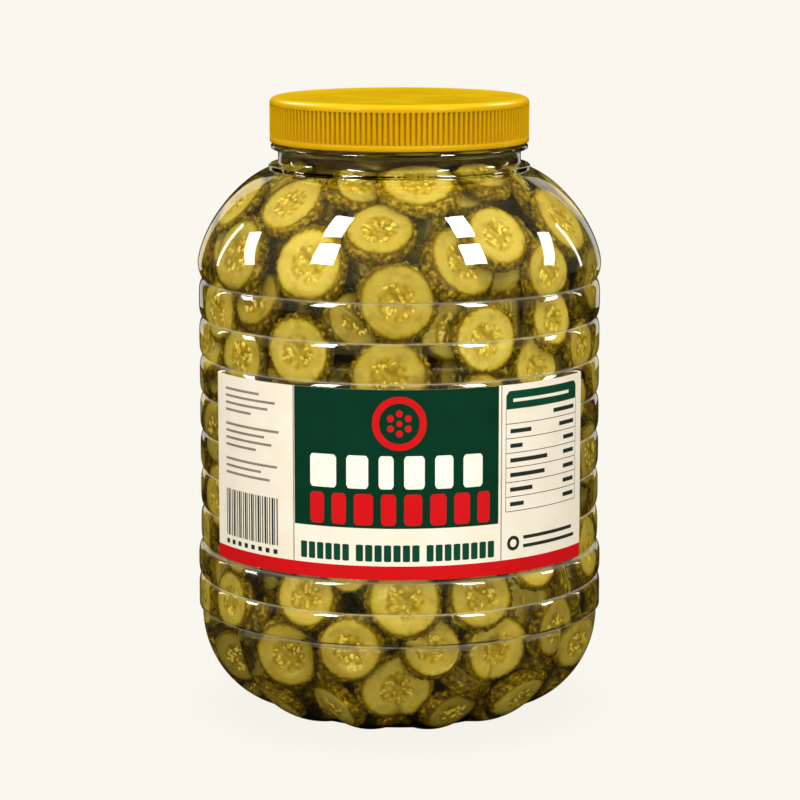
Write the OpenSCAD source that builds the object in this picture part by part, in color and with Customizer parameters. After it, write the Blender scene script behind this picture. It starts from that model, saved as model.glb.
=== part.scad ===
// Pickle jar: a clear blown PET catering jar with hoops and a lobed base,
// filled with sliced gherkins in brine and shut with a ribbed screw lid.
// Millimetres, +Z up, origin at the middle of the face it stands on.
// The label is at the front, towards -Y.

/* [Jar body] */
// Diameter over the hoops
body_d = 178; // [140:1:220]
// Wall of the blown body
wall = 0.9; // [0.7:0.05:2]
// Thickness of the bottom
floor_t = 1.6; // [1.2:0.1:3]
// Number of full hoops round the body
hoops = 7; // [4:1:9]
// Height of one full hoop
hoop_pitch = 17; // [13:0.1:21]
// Height of each of the two narrow hoops above the base
narrow_pitch = 13.8; // [11:0.1:17]
// How far the two narrow hoops stand proud of the others
narrow_proud = 1.2; // [0.5:0.1:2]
// How deep the groove between two hoops is
groove = 1.7; // [1:0.1:2.5]
// Height of the shoulder, from the top groove to the neck
shoulder_h = 49.4; // [41:0.1:60]
// How far the roundest part of the shoulder stands proud of the hoops
shoulder_proud = 0.4; // [0:0.1:1]

/* [Lobed base] */
// Number of lobes round the base
lobes = 12; // [10:1:15]
// Height of the lobed base
base_h = 47; // [39:0.1:57]
// Depth of the groove between two lobes at its top
valley = 9; // [6:0.1:12]
// How far each lobe is flattened where it stands
foot_press = 1.0; // [1:0.1:4]
// How far the flat under the bottom reaches out under the lobes
foot_band = 6; // [5:0.5:8]
// Diameter of the hollow under the bottom
hollow_d = 64; // [30:1:76]
// Height of the hollow under the bottom
hollow_h = 5; // [3:0.5:8]

/* [Neck] */
// Diameter of the neck
neck_d = 107; // [86:0.1:129]
// Wall of the neck
neck_wall = 2.2; // [1.6:0.1:3]
// Height of the neck, from the shoulder to the rim
neck_h = 29; // [24:0.1:35]
// Thickness of the support ring under the lid
ring_t = 2.6; // [2:0.2:3.2]
// How far the support ring stands out of the neck
ring_out = 3.2; // [2:0.1:4]
// How far the thread stands out of the neck
thread_out = 1.2; // [0.8:0.1:1.6]

/* [Lid] */
// Height of the lid
lid_h = 19.8; // [16.5:0.1:24]
// Thickness of the lid's top
lid_top = 1.6; // [1.2:0.1:2.4]
// Thickness of the lid's skirt, ribs not counted
lid_skirt = 1.4; // [1:0.1:2]
// Number of ribs round the lid
ribs = 150; // [60:1:180]
// How far the ribs stand out
rib_depth = 0.6; // [0.3:0.1:0.8]
// Width of the slope round the top of the lid
lid_bevel = 4; // [2:0.5:6]
// Height of the smooth band under the ribs
lid_band = 2.4; // [1.5:0.1:3]

/* [Contents] */
// Distance from the rim of the neck down to the brine
headspace = 14.4; // [9:0.1:20]
// Gap between the brine and the wall
fill_gap = 0.2; // [0.1:0.1:0.4]

/* [Label] */
// Height of the label
label_h = 81.4; // [60:0.1:100]
// Angle that the label covers round the jar
label_angle = 123; // [90:1:160]
// Thickness of the label
label_t = 0.3; // [0.2:0.1:0.6]
// Height of the label's lower edge
label_z = 76.3; // [62:0.1:96]

/* [Hidden] */

body_r = body_d / 2;
neck_r = neck_d / 2;
hoops_z = base_h + 2 * narrow_pitch;
shoulder_z = hoops_z + hoops * hoop_pitch;
neck_z = shoulder_z + shoulder_h;
rim_z = neck_z + neck_h;
brine_z = rim_z - headspace;
throat_r = neck_r - neck_wall;

hoop_steps = 6;            // slopes that round one hoop
shoulder_steps = 16;       // slopes that round the shoulder
shoulder_power = 1.55;     // fullness of the shoulder's curve
widest = 7;                // height of the shoulder's widest line above its groove

// A lobe is a round bar bent down and in to the foot. Its radius follows
// from the depth of the groove between it and the next one.
lobe_out = body_r + narrow_proud - 0.2;    // the lobes lie just inside the hoop above them
valley_r = lobe_out - valley;
lobe_mid = (pow(lobe_out, 2) - pow(valley_r, 2)) / (2 * (lobe_out - valley_r * cos(180 / lobes)));
lobe_r = lobe_out - lobe_mid;
bend_r = base_h + foot_press - lobe_r;
bend_x = lobe_mid - bend_r;
core_r = bend_r + 2;
foot_r = bend_x + foot_band;

hollow_ball = (pow(hollow_d / 2, 2) + pow(hollow_h, 2)) / (2 * hollow_h);

lid_play = 0.4;            // between the neck's thread and the lid's skirt
skirt_in = neck_r + thread_out + lid_play;
lid_r = skirt_in + lid_skirt + rib_depth;
lid_z = rim_z + lid_top - lid_h;
lid_slope = 0.6 * lid_bevel;       // height of the slope round the top
lid_rim = 1;                       // smooth edge between ribs and slope
rib_sunk = 0.1;                    // the ribs lie this far inside the smooth edges
ring_drop = 0.8;                   // gap from the lid down to the support ring
thread_t = 2;
thread_pitch = 6;
thread_first = 4.6;                // first turn below the rim
label_gap = 0.05;                  // glue under the label
$fn = 96;

// The turn of lobe number i, with a groove at the front.
function lobe_turn(i) = -90 + (i + 0.5) * 360 / lobes;

// Points [r, z] up one hoop: an arc between two sharp grooves. The lowest
// hoop has no groove below it, because it stands over the lobes.
function hoop(z0, h, inset, proud = 0, lowest = false) = [
    for (i = [0 : hoop_steps - 1])
        let (u = i / hoop_steps, w = lowest ? max(2 * u - 1, 0) : 2 * u - 1)
        [body_r + proud - inset - groove * w * w, max(z0 + u * h, base_h + inset)]
];

// Points up all the hoops, from the base to the shoulder.
function hoop_side(inset) = [
    for (i = [0 : 1]) each hoop(base_h + i * narrow_pitch, narrow_pitch, inset, narrow_proud, i == 0),
    for (i = [0 : hoops - 1]) each hoop(hoops_z + i * hoop_pitch, hoop_pitch, inset)
];

// Points over the shoulder: a short flank up to its widest line, then a
// rounded quarter in to a pipe of radius to_r.
function shoulder(inset, to_r) =
    let (z0 = shoulder_z + widest,
         out = body_r + shoulder_proud - inset - to_r,
         up = neck_z - inset - z0)
    [
        [body_r - groove - inset, shoulder_z],
        [body_r + shoulder_proud - groove / 4 - inset, shoulder_z + widest / 2],
        for (i = [0 : shoulder_steps])
            let (a = 90 * i / shoulder_steps)
            [to_r + out * pow(cos(a), 2 / shoulder_power),
             z0 + up * pow(sin(a), 2 / shoulder_power)]
    ];

// The body above the base with its neck, filled, smaller by inset.
module upper_form(inset, pipe_r, top_z) {
    rotate_extrude()
        polygon(concat(
            [[0, base_h + inset]],
            hoop_side(inset),
            shoulder(inset, pipe_r),
            [[pipe_r, top_z], [0, top_z]]));
}

// One lobe, lying towards +X.
module lobe(inset) {
    translate([bend_x, 0, base_h])
        rotate([90, 0, 0])
            rotate([0, 0, -90])
                rotate_extrude(angle = 90)
                    intersection() {
                        translate([bend_r, 0])
                            circle(r = lobe_r - inset);
                        translate([bend_r / 2, -lobe_r])
                            square([bend_r + lobe_r, 2 * lobe_r]);
                    }
}

// What the lobes leave open in the middle.
module base_core(inset) {
    cylinder(r = foot_r - 2 * inset, h = base_h);
    rotate_extrude()
        translate([bend_x, base_h])
            intersection() {
                circle(r = core_r);
                translate([-1, -core_r])
                    square([core_r + 1, core_r]);
            }
}

// The lobed base, filled, smaller by inset, standing at foot_z.
module base_form(inset, foot_z) {
    difference() {
        intersection() {
            translate([0, 0, foot_z])
                cylinder(r = body_r + narrow_proud, h = base_h - foot_z);
            union() {
                for (i = [0 : lobes - 1])
                    rotate([0, 0, lobe_turn(i)])
                        lobe(inset);
                base_core(inset);
            }
        }
        translate([0, 0, hollow_h - hollow_ball])
            sphere(r = hollow_ball + foot_z);
    }
}

// The way from the lobes up into the body, through the ledge over the
// grooves, which is as thick as the wall.
module ledge_form(inset) {
    translate([0, 0, base_h - 0.01])
        linear_extrude(inset + 0.02) {
            circle(r = lobe_mid);
            for (i = [0 : lobes - 1])
                rotate(lobe_turn(i))
                    translate([lobe_mid, 0])
                        circle(r = lobe_r - inset);
        }
}

// A ring round the neck or in the lid: sloped above and below.
module bead(r_in, r_out, z, t) {
    slope = min(abs(r_out - r_in), t / 2) * 0.6;
    rotate_extrude()
        polygon([[r_in, z - t / 2], [r_out, z - t / 2 + slope],
                 [r_out, z + t / 2 - slope], [r_in, z + t / 2]]);
}

// Everything inside the wall: base, way through the ledge, body and neck.
module cavity(inset, foot_z, pipe_r, top_z) {
    base_form(inset, foot_z);
    ledge_form(inset);
    upper_form(inset, pipe_r, top_z);
}

module jar() {
    color([0.86, 0.90, 0.90, 0.35]) {
        difference() {
            union() {
                base_form(0, 0);
                upper_form(0, neck_r, rim_z);
            }
            cavity(wall, floor_t, throat_r, rim_z + 1);
        }
        bead(neck_r - neck_wall / 2, neck_r + ring_out, lid_z - ring_drop - ring_t / 2, ring_t);
        for (i = [0 : 1])
            bead(neck_r - neck_wall / 2, neck_r + thread_out,
                 rim_z - thread_first - i * thread_pitch, thread_t);
    }
}

module contents() {
    color([0.42, 0.38, 0.05])
        cavity(wall + fill_gap, floor_t + fill_gap, throat_r - fill_gap, brine_z);
}

// Plan of the ribbed part of the lid: a ring of blunt teeth.
module rib_plan() {
    step = 360 / ribs;
    tip_r = lid_r - rib_sunk;
    polygon([
        for (i = [0 : ribs - 1])
            each [
                for (corner = [[-0.4, 1], [-0.2, 0], [0.2, 0], [0.4, 1]])
                    let (a = (i + corner[0]) * step, r = tip_r - corner[1] * rib_depth)
                    [r * cos(a), r * sin(a)]
            ]
    ]);
}

module lid() {
    ribs_top = lid_h - lid_slope - lid_rim;
    color([0.93, 0.70, 0.0])
        translate([0, 0, lid_z]) {
            difference() {
                union() {
                    rotate_extrude()
                        polygon([[0, 0], [lid_r - 0.5, 0], [lid_r, 0.5],
                                 [lid_r, lid_band], [0, lid_band]]);
                    translate([0, 0, lid_band])
                        linear_extrude(ribs_top - lid_band)
                            rib_plan();
                    rotate_extrude()
                        polygon([[0, ribs_top], [lid_r, ribs_top], [lid_r, ribs_top + lid_rim],
                                 [lid_r - lid_bevel, lid_h], [0, lid_h]]);
                }
                translate([0, 0, -1])
                    cylinder(r = skirt_in, h = lid_h - lid_top + 1);
            }
            for (i = [0 : 1])
                bead(skirt_in + 0.5, neck_r + 0.3,
                     lid_h - lid_top - thread_first - (i + 0.5) * thread_pitch, thread_t);
        }
}

module label() {
    color([0.05, 0.20, 0.12])
        rotate([0, 0, -90 - label_angle / 2])
            translate([0, 0, label_z])
                rotate_extrude(angle = label_angle)
                    translate([body_r + label_gap, 0])
                        square([label_t, label_h]);
}

jar();
contents();
lid();
label();
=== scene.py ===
import math

import bpy
import numpy as np
from mathutils import Matrix, Vector


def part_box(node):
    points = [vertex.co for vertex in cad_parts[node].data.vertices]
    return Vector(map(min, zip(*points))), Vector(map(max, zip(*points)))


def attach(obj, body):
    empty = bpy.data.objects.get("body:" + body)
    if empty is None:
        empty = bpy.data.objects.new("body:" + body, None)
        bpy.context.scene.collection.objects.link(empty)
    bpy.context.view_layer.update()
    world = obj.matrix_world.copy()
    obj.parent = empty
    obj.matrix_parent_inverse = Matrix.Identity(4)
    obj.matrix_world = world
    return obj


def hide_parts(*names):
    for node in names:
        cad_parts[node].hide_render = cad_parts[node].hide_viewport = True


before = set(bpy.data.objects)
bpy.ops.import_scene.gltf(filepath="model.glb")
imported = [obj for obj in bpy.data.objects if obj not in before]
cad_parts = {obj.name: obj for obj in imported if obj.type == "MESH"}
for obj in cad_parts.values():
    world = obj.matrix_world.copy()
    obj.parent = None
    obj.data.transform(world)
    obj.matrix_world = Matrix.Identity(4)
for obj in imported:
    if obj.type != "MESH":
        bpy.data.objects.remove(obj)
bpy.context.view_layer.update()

# Pickle jar: a clear blown PET jar on a lobed base, full of sliced gherkins in
# brine, with a ribbed yellow screw lid and a paper label round the front.
# Sizes are in millimetres and angles in degrees; the front is towards -Y.

mm = 0.001
chance = np.random.default_rng(58)


def linear(hexColour):
    # sRGB hex to linear light
    parts = [int(hexColour[i:i + 2], 16) / 255 for i in (1, 3, 5)]
    return tuple(c / 12.92 if c <= 0.04045 else ((c + 0.055) / 1.055) ** 2.4 for c in parts) + (1.0,)


def addNode(tree, kind, links=(), stops=(), **settings):
    # One node with its settings. links holds socket values, other nodes'
    # outputs, or a node for its first output; stops are a colour ramp's.
    node = tree.nodes.new("ShaderNode" + kind)
    for name, value in settings.items():
        setattr(node, name, value)
    for name, value in dict(links).items():
        if isinstance(value, bpy.types.Node):
            value = value.outputs[0]
        if isinstance(value, bpy.types.NodeSocket):
            tree.links.new(value, node.inputs[name])
        else:
            node.inputs[name].default_value = value
    if stops:
        steps = node.color_ramp.elements
        while len(steps) < len(stops):
            steps.new(0.5)
        for step, (place, colour) in zip(steps, stops):
            step.position = place
            step.color = linear(colour) if isinstance(colour, str) else (colour,) * 3 + (1.0,)
    return node


def newMaterial(name):
    # a material and its node tree, still empty
    material = bpy.data.materials.new(name)
    material.use_nodes = True
    material.node_tree.nodes.clear()
    return material, material.node_tree


def finishMaterial(material, shader):
    # the shader goes to the output
    addNode(material.node_tree, "OutputMaterial", {"Surface": shader})
    return material


def buildPiece(name, corners, quads, triangles, material, slot, stands=()):
    # one mesh object from arrays, at the origin, riding on the jar
    mesh = bpy.data.meshes.new(name)
    mesh.vertices.add(len(corners))
    mesh.vertices.foreach_set("co", (np.asarray(corners) * mm).astype(np.float32).ravel())
    loops = np.concatenate([np.asarray(quads).ravel(), np.asarray(triangles).ravel()]).astype(np.int32)
    mesh.loops.add(len(loops))
    mesh.loops.foreach_set("vertex_index", loops)
    sizes = np.concatenate([np.full(len(quads), 4), np.full(len(triangles), 3)])
    mesh.polygons.add(len(sizes))
    mesh.polygons.foreach_set("loop_start", (np.cumsum(sizes) - sizes).astype(np.int32))
    mesh.update(calc_edges=True)
    mesh.validate()
    mesh.shade_smooth()
    mesh.materials.append(material)
    piece = bpy.data.objects.new(name, mesh)
    bpy.context.collection.objects.link(piece)
    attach(piece, "root")
    for node in stands:
        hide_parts(node)
    print(f"{name}: {2 * len(quads) + len(triangles)} triangles")
    return piece


def buildCopies(name, corners, quads, triangles, material):
    # many small things of one grid as one piece; corners has a row for each thing
    shift = (np.arange(len(corners)) * corners.shape[1])[:, None, None]
    return buildPiece(name, corners.reshape(-1, 3), (quads + shift).reshape(-1, 4),
                      (triangles + shift).reshape(-1, 3), material, "gherkins", ["contents"])


def writeAttribute(piece, name, values):
    # one number or one vector for each corner, for the material to read
    kind, part = ("FLOAT", "value") if values.ndim == 1 else ("FLOAT_VECTOR", "vector")
    data = piece.data.attributes.new(name, kind, "POINT").data
    data.foreach_set(part, values.astype(np.float32).ravel())


def ringFaces(rings, columns, first=0):
    # quads between neighbouring rings of a closed round grid, facing out
    # where the rings go up the outside
    ring = np.arange(columns)
    beside = (ring + 1) % columns
    base = first + columns * np.arange(rings - 1)[:, None]
    return np.stack([base + ring, base + beside, base + columns + beside, base + columns + ring],
                    axis=-1).reshape(-1, 4)


def fanFaces(pole, ring, fromPole):
    # triangles from a pole to a ring
    beside = np.roll(ring, -1)
    tip = np.full(len(ring), pole)
    return np.stack([tip, beside, ring] if fromPole else [ring, beside, tip], axis=-1)


def closedFaces(rings, columns):
    # faces of round rings between two poles, which are the first and last corners
    firstRing = 1 + np.arange(columns)
    lastRing = firstRing + columns * (rings - 1)
    triangles = np.concatenate([fanFaces(0, firstRing, True),
                                fanFaces(rings * columns + 1, lastRing, False)])
    return ringFaces(rings, columns, 1), triangles


def roundGrid(radii, heights, lowPole, highPole, turns):
    # A closed round body: ring i stands at height heights[i] with radius
    # radii[i, j] towards turns[j], and a pole on the axis closes each end.
    flat = np.stack([radii * np.cos(turns), radii * np.sin(turns),
                     np.broadcast_to(heights[:, None], radii.shape)], axis=-1)
    corners = np.concatenate([[[0, 0, lowPole]], flat.reshape(-1, 3), [[0, 0, highPole]]])
    return (corners, *closedFaces(*radii.shape))


# sizes that every piece shares, from the frame

jarLow, jarHigh = (np.array(c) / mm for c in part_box("jar"))
lidLow, lidHigh = (np.array(c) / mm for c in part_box("lid"))
labelLow, labelHigh = (np.array(c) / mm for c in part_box("label"))
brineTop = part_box("contents")[1][2] / mm

jar = dict(
    wall=0.9, floor=1.6, groove=1.7, shoulderProud=0.4,
    hoops=7, hoopPitch=17.0, narrowHoops=2, narrowPitch=13.8, narrowProud=1.2,
    hoopFlat=4.6,            # how square a hoop is: 2 is a parabola
    crease=0.45,             # painted highlight: width of the pale line painted along the bottom of each groove
    creaseWidth=0.4,         # where the plastic is scuffed pale
    baseHeight=47.0, lobes=12, valley=9.0, footPress=1.0, footBand=6.0,
    hollowRadius=32.0, hollowHeight=5.0,
    neckRadius=53.5, neckWall=2.2, neckHeight=29.0,
    shoulderPower=1.55, widestAbove=7.0,
    ringRadius=56.7, ringThick=2.6, ringDrop=0.8, threadOut=1.2,
    columns=216,
)
widestR = min(jarHigh[0], -jarLow[0], jarHigh[1])
bodyR = widestR - jar["narrowProud"]
rimZ = jarHigh[2]
neckZ = rimZ - jar["neckHeight"]
baseH = jar["baseHeight"]
hoopsZ = baseH + jar["narrowHoops"] * jar["narrowPitch"]
shoulderZ = hoopsZ + jar["hoops"] * jar["hoopPitch"]
throatR = jar["neckRadius"] - jar["neckWall"]
hollowBall = (jar["hollowRadius"] ** 2 + jar["hollowHeight"] ** 2) / (2 * jar["hollowHeight"])

# a lobe is a round bar bent down and in to the foot
lobeStep = 2 * math.pi / jar["lobes"]
lobeOut = bodyR + jar["narrowProud"] - 0.2
valleyR = lobeOut - jar["valley"]
lobeMid = (lobeOut ** 2 - valleyR ** 2) / (2 * (lobeOut - valleyR * math.cos(lobeStep / 2)))
lobeR = lobeOut - lobeMid
bendR = baseH + jar["footPress"] - lobeR
bendX = lobeMid - bendR
footR = bendX + jar["footBand"]


def baseRadii(turns, heights, inset):
    # Radius of the lobed base towards each turn at each height: the farthest
    # point inside a bar of radius lobeR whose middle line is a quarter circle
    # of radius bendR, found by halving, and never less than the foot.
    off = (turns + math.pi / 2) % lobeStep - lobeStep / 2
    away = heights[:, None] - baseH
    near = (bendX + np.sqrt(np.maximum(bendR ** 2 - away ** 2, 0))) / np.cos(off)
    far = np.full(near.shape, bodyR + 20.0)
    for _ in range(36):
        middle = (near + far) / 2
        reach = np.hypot(middle * np.cos(off) - bendX, away) - bendR
        inside = reach ** 2 + (middle * np.sin(off)) ** 2 < (lobeR - inset) ** 2
        near = np.where(inside, middle, near)
        far = np.where(inside, far, middle)
    return np.maximum(near, footR - 2 * inset)


def bodyProfile(inset, pipeR):
    # Radius and height up the round part, from the ledge to the neck: each
    # hoop is a flat-topped curve between two sharp grooves, the shoulder a superellipse.
    across = np.array([0, 0.012, 0.03, 0.05, 0.09, 0.14, 0.22, 0.36,
                       0.64, 0.78, 0.86, 0.91, 0.95, 0.97, 0.988])
    starts = [(baseH + i * jar["narrowPitch"], jar["narrowPitch"], jar["narrowProud"])
              for i in range(jar["narrowHoops"])]
    starts += [(hoopsZ + i * jar["hoopPitch"], jar["hoopPitch"], 0) for i in range(jar["hoops"])]
    heights = np.concatenate([low + across * pitch for low, pitch, proud in starts])
    edge = np.abs(2 * across - 1)
    dip = jar["groove"] * edge ** jar["hoopFlat"] + jar["crease"] * np.clip((edge - 0.94) / 0.06, 0, 1)
    radii = np.concatenate([bodyR + proud - inset - dip for low, pitch, proud in starts])
    radii[:len(across) // 2] = bodyR + jar["narrowProud"] - inset    # no groove over the lobes
    heights[0] = baseH + inset
    keep = heights >= heights[0]
    widestZ = shoulderZ + jar["widestAbove"]
    turn = np.radians(np.linspace(0, 90, 31))
    rise = neckZ - inset - widestZ
    reach = bodyR + jar["shoulderProud"] - inset - pipeR
    curveR = pipeR + reach * np.cos(turn).clip(0, 1) ** (2 / jar["shoulderPower"])
    curveZ = widestZ + rise * np.sin(turn) ** (2 / jar["shoulderPower"])
    flank = np.array([0, 0.12, 0.3, 0.6])
    flankR = bodyR - inset - jar["groove"] + (jar["groove"] + jar["shoulderProud"]) * (1 - (1 - flank) ** 2)
    flankZ = shoulderZ + flank * jar["widestAbove"]
    return (np.concatenate([radii[keep], flankR, curveR]),
            np.concatenate([heights[keep], flankZ, curveZ]))


def hollowRows(lift):
    # radius and height of the shallow dome under the bottom, from its middle out
    ball = hollowBall + lift
    middle = jar["hollowHeight"] - hollowBall
    edge = math.sqrt(ball ** 2 - (lift - middle) ** 2)
    radii = edge * np.array([0.2, 0.4, 0.6, 0.8, 0.94, 1.0])
    return radii, middle + np.sqrt(ball ** 2 - radii ** 2)


def easeUp(count):
    # 0 to 1, close together at 0: one less the cosine of an even turn
    return 1 - np.cos(np.linspace(0, math.pi / 2, count))


def shapeInside(inset, footZ, pipeR, turns, above, stopR=0):
    # rings of the jar's form, smaller by inset, from the hollow's rim up;
    # above holds more (radius, height) rings, which take over at radius stopR
    hollowR, hollowZ = hollowRows(footZ)
    baseZ = footZ + (baseH - footZ) * easeUp(28)
    baseR = baseRadii(turns, baseZ, inset)
    sideR, sideZ = bodyProfile(inset, pipeR)
    sideR, sideZ = sideR[sideR > stopR], sideZ[sideR > stopR]
    overR, overZ = np.array(above).T
    ledgeR, ledgeZ = ([baseR[-1:]], [[baseH + inset]]) if inset else ([], [])
    low, side, over = (np.repeat(radii[:, None], len(turns), axis=1) for radii in (hollowR, sideR, overR))
    return (np.concatenate([low, baseR, *ledgeR, side, over]),
            np.concatenate([hollowZ, baseZ, *ledgeZ, sideZ, overZ]))


roundTurns = -math.pi / 2 + 2 * math.pi * np.arange(jar["columns"]) / jar["columns"]


def clearShell(name, tint, ior, roughness, shadowTint, bump=None, scuffed=0):
    # a clear body that bends what the eye sees and lets lamps straight through
    material, tree = newMaterial(name)
    body = addNode(tree, "BsdfPrincipled", {"Base Color": linear(tint), "Roughness": roughness,
                                            "IOR": ior, "Transmission Weight": 1.0})
    if bump:
        space = addNode(tree, "TexCoord").outputs["Object"]
        waves = addNode(tree, "TexNoise", {"Vector": space, "Scale": bump["scale"], "Detail": 1.0})
        relief = addNode(tree, "Bump", {"Height": waves, "Strength": bump["strength"],
                                        "Distance": bump["depth"] * mm})
        tree.links.new(relief.outputs[0], body.inputs["Normal"])
    # painted highlight: the wall is less clear and paler along the bottom of each groove
    if scuffed:
        scuff = addNode(tree, "Attribute", attribute_name="scuff")
        clear = addNode(tree, "MapRange", {0: scuff.outputs["Fac"], 1: 0.0, 2: 1.0, 3: 1.0, 4: 1 - scuffed})
        tree.links.new(clear.outputs[0], body.inputs["Transmission Weight"])
    through = addNode(tree, "BsdfTransparent", {"Color": linear(shadowTint)})
    path = addNode(tree, "LightPath")
    mixed = addNode(tree, "MixShader", {0: path.outputs["Is Shadow Ray"], 1: body, 2: through})
    return finishMaterial(material, mixed)


def petPlastic():
    # PET, stretch blown: clear and glossy, with faint waves about 30 mm apart,
    # and a painted highlight: a pale line along the bottom of each groove
    return clearShell("blownPet", "#fbfcfa", 1.575, 0.02, "#f6f6f4",
                      dict(scale=1 / (30 * mm), strength=0.25, depth=0.6), scuffed=0.45)


def brineLiquid():
    # vinegar brine, tinted yellow green by the gherkins' skins
    return clearShell("pickleBrine", "#d9cf86", 1.34, 0.0, "#e6dea8")


def gherkinFlesh():
    # pickled gherkin, sliced across: wet and glossy, a paler ring of flesh round
    # a seedy middle, and a dark warty skin with wrinkles about 2.2 mm apart
    material, tree = newMaterial("pickledGherkin")
    spot = addNode(tree, "Attribute", attribute_name="spot")
    tone = addNode(tree, "Attribute", attribute_name="tone")
    skin = addNode(tree, "Attribute", attribute_name="skin")
    away = addNode(tree, "VectorMath", {0: spot.outputs["Vector"]}, operation="LENGTH")
    space = addNode(tree, "TexCoord").outputs["Object"]
    cloud = addNode(tree, "TexNoise", {"Vector": space, "Scale": 1 / (7 * mm), "Detail": 3.0})
    fine = addNode(tree, "TexNoise", {"Vector": space, "Scale": 1 / (2.2 * mm), "Detail": 2.0})
    sway = addNode(tree, "MapRange", {0: fine, 1: 0.3, 2: 0.7, 3: -0.035, 4: 0.035})
    place = addNode(tree, "Math", {0: away.outputs["Value"], 1: sway}, operation="ADD")
    flesh = addNode(tree, "ValToRGB", {0: place}, [
        (0.0, "#b0a166"), (0.14, "#a09050"), (0.40, "#a39355"), (0.52, "#b3a570"), (0.60, "#aea26e"),
        (0.78, "#aaa067"), (0.85, "#a0923a"), (0.89, "#7d6a10"), (0.93, "#463602")])
    mottle = addNode(tree, "ValToRGB", {0: cloud}, [(0.3, "#8f7d1c"), (0.5, "#ffffff"), (0.7, "#ffffff")])
    blotched = addNode(tree, "Mix", {0: 0.35, 6: flesh, 7: mottle}, data_type="RGBA", blend_type="MULTIPLY")
    # the seed chambers: jelly in cells a seventh of the radius wide
    cells = addNode(tree, "TexVoronoi", {"Vector": spot.outputs["Vector"], "Scale": 7.0},
                    feature="SMOOTH_F1")
    jelly = addNode(tree, "ValToRGB", {0: cells.outputs["Distance"]}, [
        (0.10, "#bdad68"), (0.38, "#a2923c"), (0.60, "#7a6810")])
    seedy = addNode(tree, "ValToRGB", {0: place}, [(0.03, 0.0), (0.10, 0.75), (0.44, 0.75), (0.54, 0.0)])
    chambers = addNode(tree, "Mix", {0: seedy, 6: blotched.outputs[2], 7: jelly}, data_type="RGBA")
    bark = addNode(tree, "ValToRGB", {0: fine}, [(0.30, "#382b00"), (0.44, "#584802"), (0.58, "#7c6b08"),
                                          (0.72, "#b0a030")])
    colour = addNode(tree, "Mix", {0: skin.outputs["Fac"], 6: chambers.outputs[2], 7: bark},
                     data_type="RGBA")
    shade = addNode(tree, "ValToRGB", {0: tone.outputs["Fac"]}, [
        (0.0, "#8d8a70"), (0.5, "#e6e2d0"), (1.0, "#ffffff")])
    toned = addNode(tree, "Mix", {0: 1.0, 6: colour.outputs[2], 7: shade},
                    data_type="RGBA", blend_type="MULTIPLY")
    wet = addNode(tree, "MapRange", {0: fine, 1: 0.3, 2: 0.7, 3: 0.08, 4: 0.24})
    grain = addNode(tree, "Bump", {"Height": fine, "Strength": 0.6, "Distance": 0.45 * mm})
    body = addNode(tree, "BsdfPrincipled", {"Base Color": toned.outputs[2], "Roughness": wet,
                                            "IOR": 1.45, "Normal": grain,
                                            "Subsurface Weight": 0.3, "Subsurface Scale": 2.0 * mm})
    return finishMaterial(material, body)


def seedCoat():
    # gherkin seed: pale, smooth and wet
    material, tree = newMaterial("gherkinSeed")
    space = addNode(tree, "TexCoord").outputs["Object"]
    cloud = addNode(tree, "TexNoise", {"Vector": space, "Scale": 1 / (5 * mm), "Detail": 2.0})
    colour = addNode(tree, "ValToRGB", {0: cloud}, [(0.3, "#a8994e"), (0.5, "#bfb06a"), (0.7, "#cfc286")])
    body = addNode(tree, "BsdfPrincipled", {"Base Color": colour, "Roughness": 0.22, "IOR": 1.46})
    return finishMaterial(material, body)


def deepHeap():
    # the heap behind the outer slices: gherkin olive darkened to dark brown as painted shade deep in the jar,
    # lumpy and wet
    material, tree = newMaterial("shadedGherkins")
    space = addNode(tree, "TexCoord").outputs["Object"]
    cloud = addNode(tree, "TexNoise", {"Vector": space, "Scale": 1 / (14 * mm), "Detail": 4.0})
    colour = addNode(tree, "ValToRGB", {0: cloud}, [(0.35, "#281b00"), (0.55, "#463200"), (0.70, "#6e5602")])
    relief = addNode(tree, "Bump", {"Height": cloud, "Strength": 0.6, "Distance": 2 * mm})
    body = addNode(tree, "BsdfPrincipled", {"Base Color": colour, "Roughness": 0.35, "Normal": relief})
    return finishMaterial(material, body)


def lidPlastic():
    # polypropylene, injection moulded: satin yellow with a very fine orange peel
    material, tree = newMaterial("mouldedPolypropylene")
    space = addNode(tree, "TexCoord").outputs["Object"]
    cloud = addNode(tree, "TexNoise", {"Vector": space, "Scale": 1 / (26 * mm), "Detail": 2.0})
    peel = addNode(tree, "TexNoise", {"Vector": space, "Scale": 1 / (0.9 * mm), "Detail": 2.0})
    deep = addNode(tree, "Attribute", attribute_name="deep")
    # painted shade: the yellow darkens down the side and most at the bottom of each groove between the ribs
    plain = addNode(tree, "ValToRGB", {0: deep.outputs["Fac"]}, [
        (0.0, "#f9cc00"), (0.3, "#f7c100"), (1.0, "#c99200")])
    haze = addNode(tree, "ValToRGB", {0: cloud}, [(0.3, "#f6f4ec"), (0.7, "#ffffff")])
    colour = addNode(tree, "Mix", {0: 1.0, 6: plain, 7: haze}, data_type="RGBA", blend_type="MULTIPLY")
    gloss = addNode(tree, "MapRange", {0: cloud, 1: 0.3, 2: 0.7, 3: 0.22, 4: 0.28})
    relief = addNode(tree, "Bump", {"Height": peel, "Strength": 0.04, "Distance": 0.2 * mm})
    body = addNode(tree, "BsdfPrincipled", {"Base Color": colour.outputs[2], "Roughness": gloss,
                                            "Specular IOR Level": 0.3, "Normal": relief})
    return finishMaterial(material, body)


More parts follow.
